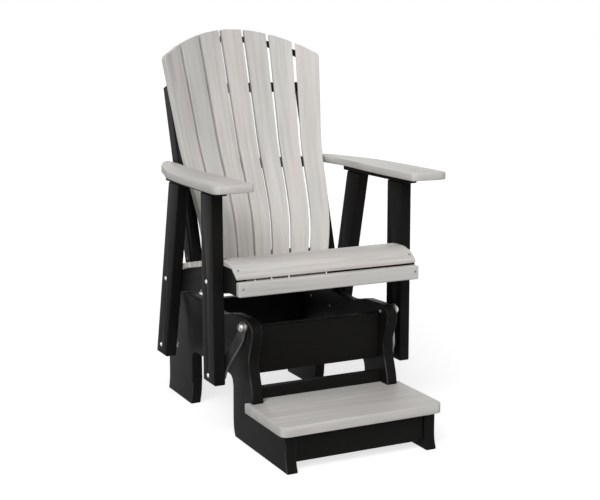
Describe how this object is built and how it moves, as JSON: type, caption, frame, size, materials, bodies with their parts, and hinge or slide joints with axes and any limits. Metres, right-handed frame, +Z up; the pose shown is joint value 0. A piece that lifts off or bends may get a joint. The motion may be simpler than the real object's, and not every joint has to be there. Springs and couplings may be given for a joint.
{
  "type": "glider chair",
  "caption": "Tall outdoor glider armchair with a fanned slat back, hung on cranked straps inside a profiled base with a footstep.",
  "frame": {"origin": "centre of the bounding box on the floor, midway between the side panels", "axes": "+X to the sitter's left, seen as the right of the picture; the front with the step faces -Y; +Z up"},
  "size_m": [0.8252, 1.0684, 1.3193],
  "materials": {
    "grey_boards": "wood-grain embossed plastic lumber, matt, pale warm grey",
    "black_boards": "wood-grain embossed plastic lumber, satin, black",
    "stainless_bolts": "stainless steel, bright",
    "hanger_steel": "dark powder coat on flat steel"
  },
  "bodies": {
    "base": {"base_front_apron": "black_boards", "base_rear_apron": "black_boards", "base_side_left": "black_boards", "base_side_right": "black_boards", "front_top_pivot_bolt_left": "stainless_bolts", "front_top_pivot_bolt_right": "stainless_bolts", "rear_top_pivot_bolt_left": "stainless_bolts", "rear_top_pivot_bolt_right": "stainless_bolts", "step_board": "grey_boards", "step_front_apron": "black_boards", "step_riser": "black_boards"},
    "front_hangers": {"front_strap_left": "hanger_steel", "front_strap_right": "hanger_steel"},
    "rear_hangers": {"rear_strap_left": "hanger_steel", "rear_strap_right": "hanger_steel"},
    "chair": {"arm_rail_left": "black_boards", "arm_rail_right": "black_boards", "armrest_left": "grey_boards", "armrest_right": "grey_boards", "back_post_left": "black_boards", "back_post_right": "black_boards", "back_slat_1": "grey_boards", "back_slat_2": "grey_boards", "back_slat_3": "grey_boards", "back_slat_4": "grey_boards", "back_slat_5": "grey_boards", "back_slat_6": "grey_boards", "back_slat_7": "grey_boards", "back_support_bottom": "black_boards", "back_support_lower": "black_boards", "back_support_middle": "black_boards", "back_support_top": "black_boards", "front_leg_bolt_left": "stainless_bolts", "front_leg_bolt_right": "stainless_bolts", "front_leg_left": "black_boards", "front_leg_right": "black_boards", "front_low_pivot_bolt_left": "stainless_bolts", "front_low_pivot_bolt_right": "stainless_bolts", "rear_leg_bolt_left": "stainless_bolts", "rear_leg_bolt_right": "stainless_bolts", "rear_leg_left": "black_boards", "rear_leg_right": "black_boards", "rear_low_pivot_bolt_left": "stainless_bolts", "rear_low_pivot_bolt_right": "stainless_bolts", "seat_front_board": "grey_boards", "seat_front_rail": "black_boards", "seat_middle_rail": "black_boards", "seat_nose_slat": "grey_boards", "seat_rail_left": "black_boards", "seat_rail_right": "black_boards", "seat_rear_rail": "black_boards", "seat_rear_slat": "grey_boards", "seat_slat_1": "grey_boards", "seat_slat_2": "grey_boards", "seat_slat_3": "grey_boards", "seat_slat_4": "grey_boards"}
  },
  "joints": [
    {"name": "front_hanger_swing", "type": "hinge", "parent": "base", "child": "front_hangers", "pos_m": [0, -0.22725, 0.39502], "axis": [1, 0, 0], "range_deg": [-8.1, 8.1]},
    {"name": "chair_swing", "type": "hinge", "parent": "front_hangers", "child": "chair", "pos_m": [0, -0.1417, 0.2268], "axis": [1, 0, 0], "range_deg": [-10.6, 10.6]},
    {"name": "rear_hanger_swing", "type": "hinge", "parent": "base", "child": "rear_hangers", "pos_m": [0, 0.35664, 0.4115], "axis": [1, 0, 0], "range_deg": [-7.5, 7.5]}
  ],
  "couplings": [
    {"joint": "front_hanger_swing", "follows": "chair_swing", "ratio": -0.7491},
    {"joint": "rear_hanger_swing", "follows": "chair_swing", "ratio": -0.6867}
  ]
}
